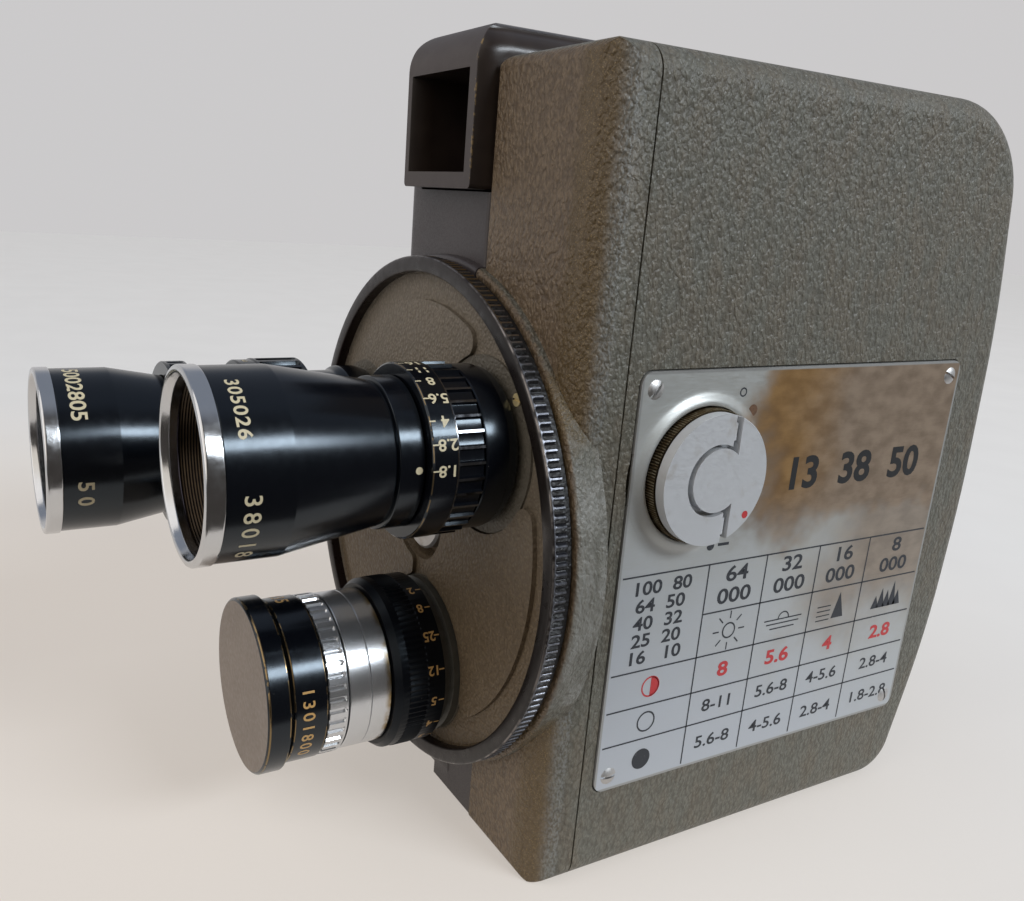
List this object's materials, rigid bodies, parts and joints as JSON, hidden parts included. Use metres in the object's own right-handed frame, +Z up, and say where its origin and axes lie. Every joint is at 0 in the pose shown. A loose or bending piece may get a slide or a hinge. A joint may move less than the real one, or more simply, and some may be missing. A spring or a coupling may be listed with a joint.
{
  "type": "movie camera",
  "caption": "Spring-wound movie camera with a lens turret, viewfinder, film door and folding winding key.",
  "frame": {"origin": "mouth of the tripod bush in the base, straight below the turret's axis", "axes": "+X towards the film door's side, -Y the way the lenses point, +Z up"},
  "size_m": [0.0905, 0.1626, 0.1352],
  "materials": {
    "olive_paint": "wrinkle paint",
    "black_paint": "satin black paint",
    "gloss_black": "gloss black lacquer",
    "satin_silver": "satin anodised",
    "plate_metal": "brushed and clear anodised",
    "chrome": "satin chrome",
    "steel": "ground steel",
    "spring_steel": "blued steel",
    "brass": "machined brass",
    "glass": "coated optical glass",
    "black_plastic": "moulded black"
  },
  "bodies": {
    "body": {"main_casting": "olive_paint", "cover_pillars": "steel", "mechanism_cover": "black_paint", "cover_screws": "steel", "finder_housing": "black_paint", "finder_lenses": "glass", "finder_eyecup": "black_plastic", "tripod_bush": "steel", "aperture_plate": "chrome", "film_guides": "steel", "turret_hub": "plate_metal", "detent_ball": "steel", "detent_spring": "spring_steel", "counter_window": "glass", "mechanism_plate": "steel"},
    "door": {"film_door": "olive_paint", "exposure_plate": "plate_metal", "plate_screws": "steel", "knob_dish": "satin_silver"},
    "knob": {"door_knob": "satin_silver", "latch_bar": "steel"},
    "knob_bail": {"knob_bail": "satin_silver"},
    "turret": {"turret_disc": "olive_paint", "seat_screws": "steel", "short_tele_mount": "gloss_black", "short_tele_barrel": "gloss_black", "short_tele_rim": "chrome", "short_tele_glass": "glass", "long_tele_mount": "gloss_black", "long_tele_barrel": "gloss_black", "long_tele_rim": "chrome", "long_tele_glass": "glass", "standard_mount": "satin_silver", "standard_barrel": "satin_silver", "standard_glass": "glass", "standard_name_ring": "gloss_black"},
    "short_tele_aperture": {"short_tele_aperture_ring": "gloss_black"},
    "long_tele_aperture": {"long_tele_aperture_ring": "gloss_black"},
    "long_tele_focus": {"long_tele_focus_ring": "gloss_black"},
    "standard_aperture": {"standard_aperture_ring": "satin_silver"},
    "standard_focus": {"standard_focus_ring": "gloss_black"},
    "cap": {"standard_cap": "gloss_black"},
    "feed_spool": {"feed_spool": "satin_silver"},
    "takeup": {"takeup_spool": "satin_silver", "takeup_spindle": "steel"},
    "pressure_plate": {"pressure_plate": "chrome"},
    "claw": {"claw": "steel"},
    "barrel": {"mainspring_barrel": "brass", "mainspring": "spring_steel"},
    "intermediate_wheel": {"intermediate_wheel": "brass"},
    "sprocket": {"film_sprocket": "steel"},
    "governor": {"governor": "brass"},
    "shutter_drive": {"shutter_drive_wheel": "brass"},
    "shutter": {"shutter": "steel"},
    "winding": {"winding_arbor": "steel", "winding_key_hub": "satin_silver"},
    "key_wing": {"winding_key_wing": "satin_silver"},
    "pawl": {"ratchet_pawl": "steel"},
    "speed_dial": {"speed_dial": "satin_silver"},
    "release_button": {"release_button": "steel"},
    "counter_dial": {"counter_dial": "plate_metal"}
  },
  "joints": [
    {"name": "door_lift", "type": "slide", "parent": "body", "child": "door", "axis": [1, 0, 0], "range_m": [0, 0.06]},
    {"name": "knob_turn", "type": "hinge", "parent": "door", "child": "knob", "pos_m": [0.041, -0.0172, 0.0701], "axis": [1, 0, 0], "range_deg": [0, 90]},
    {"name": "bail_fold", "type": "hinge", "parent": "knob", "child": "knob_bail", "pos_m": [0.0446, -0.0149, 0.0701], "axis": [0, 0, 1], "range_deg": [0, 90]},
    {"name": "turret_turn", "type": "hinge", "parent": "body", "child": "turret", "pos_m": [0, -0.04, 0.0537], "axis": [0, 1, 0], "continuous": true},
    {"name": "short_tele_aperture_turn", "type": "hinge", "parent": "turret", "child": "short_tele_aperture", "pos_m": [0.02, -0.055, 0.07109], "axis": [0, 1, 0], "range_deg": [-60, 60]},
    {"name": "long_tele_aperture_turn", "type": "hinge", "parent": "turret", "child": "long_tele_aperture", "pos_m": [-0.02506, -0.081, 0.06233], "axis": [0, 1, 0], "range_deg": [-60, 60]},
    {"name": "long_tele_focus_turn", "type": "hinge", "parent": "turret", "child": "long_tele_focus", "pos_m": [-0.02506, -0.064, 0.06233], "axis": [0, 1, 0], "range_deg": [-135, 135]},
    {"name": "standard_aperture_turn", "type": "hinge", "parent": "turret", "child": "standard_aperture", "pos_m": [0.00506, -0.0655, 0.02769], "axis": [0, 1, 0], "range_deg": [-60, 60]},
    {"name": "standard_focus_turn", "type": "hinge", "parent": "turret", "child": "standard_focus", "pos_m": [0.00506, -0.051, 0.02769], "axis": [0, 1, 0], "range_deg": [-120, 120]},
    {"name": "cap_pull", "type": "slide", "parent": "turret", "child": "cap", "axis": [0, -1, 0], "range_m": [0, 0.015]},
    {"name": "feed_spool_turn", "type": "hinge", "parent": "body", "child": "feed_spool", "pos_m": [0.0229, 0.022, 0.099], "axis": [1, 0, 0], "continuous": true},
    {"name": "takeup_turn", "type": "hinge", "parent": "body", "child": "takeup", "pos_m": [0.0229, 0.01997, 0.03103], "axis": [1, 0, 0], "continuous": true},
    {"name": "pressure_plate_press", "type": "slide", "parent": "body", "child": "pressure_plate", "axis": [0, 1, 0], "range_m": [0, 0.003], "stiffness_N_per_m": 150},
    {"name": "claw_stroke", "type": "slide", "parent": "body", "child": "claw", "axis": [0, 0, -1], "range_m": [0, 0.0038]},
    {"name": "barrel_turn", "type": "hinge", "parent": "body", "child": "barrel", "pos_m": [0, 0.022, 0.036], "axis": [1, 0, 0], "continuous": true},
    {"name": "intermediate_wheel_turn", "type": "hinge", "parent": "body", "child": "intermediate_wheel", "pos_m": [0, 0.01174, 0.06419], "axis": [1, 0, 0], "continuous": true},
    {"name": "sprocket_turn", "type": "hinge", "parent": "body", "child": "sprocket", "pos_m": [0, -0.00517, 0.05803], "axis": [1, 0, 0], "continuous": true},
    {"name": "governor_turn", "type": "hinge", "parent": "body", "child": "governor", "pos_m": [0, 0.02447, 0.07692], "axis": [1, 0, 0], "continuous": true},
    {"name": "shutter_drive_turn", "type": "hinge", "parent": "body", "child": "shutter_drive", "pos_m": [0, -0.01198, 0.084], "axis": [1, 0, 0], "continuous": true},
    {"name": "shutter_turn", "type": "hinge", "parent": "body", "child": "shutter", "pos_m": [0.0068, -0.03, 0.084], "axis": [0, 1, 0], "continuous": true},
    {"name": "winding_turn", "type": "hinge", "parent": "body", "child": "winding", "pos_m": [-0.02, 0.022, 0.036], "axis": [-1, 0, 0], "continuous": true},
    {"name": "key_wing_fold", "type": "hinge", "parent": "winding", "child": "key_wing", "pos_m": [-0.0249, 0.022, 0.036], "axis": [0, 0, 1], "range_deg": [0, 90]},
    {"name": "pawl_lift", "type": "hinge", "parent": "body", "child": "pawl", "pos_m": [-0.016, 0.0112, 0.048], "axis": [-1, 0, 0], "range_deg": [0, 8], "stiffness_Nm_per_rad": 0.01},
    {"name": "speed_dial_turn", "type": "hinge", "parent": "body", "child": "speed_dial", "pos_m": [-0.022, -0.022, 0.034], "axis": [-1, 0, 0], "range_deg": [0, 270]},
    {"name": "release_press", "type": "slide", "parent": "body", "child": "release_button", "axis": [0, 0, -1], "range_m": [0, 0.005], "stiffness_N_per_m": 250},
    {"name": "counter_turn", "type": "hinge", "parent": "body", "child": "counter_dial", "pos_m": [-0.018, 0.014, 0.088], "axis": [1, 0, 0], "range_deg": [0, 300]}
  ],
  "couplings": [
    {"joint": "intermediate_wheel_turn", "follows": "barrel_turn", "ratio": -4},
    {"joint": "sprocket_turn", "follows": "barrel_turn", "ratio": 8},
    {"joint": "governor_turn", "follows": "barrel_turn", "ratio": 8},
    {"joint": "shutter_drive_turn", "follows": "barrel_turn", "ratio": 2.5397},
    {"joint": "shutter_turn", "follows": "barrel_turn", "ratio": 2.5397},
    {"joint": "takeup_turn", "follows": "barrel_turn", "ratio": -2.8132}
  ]
}
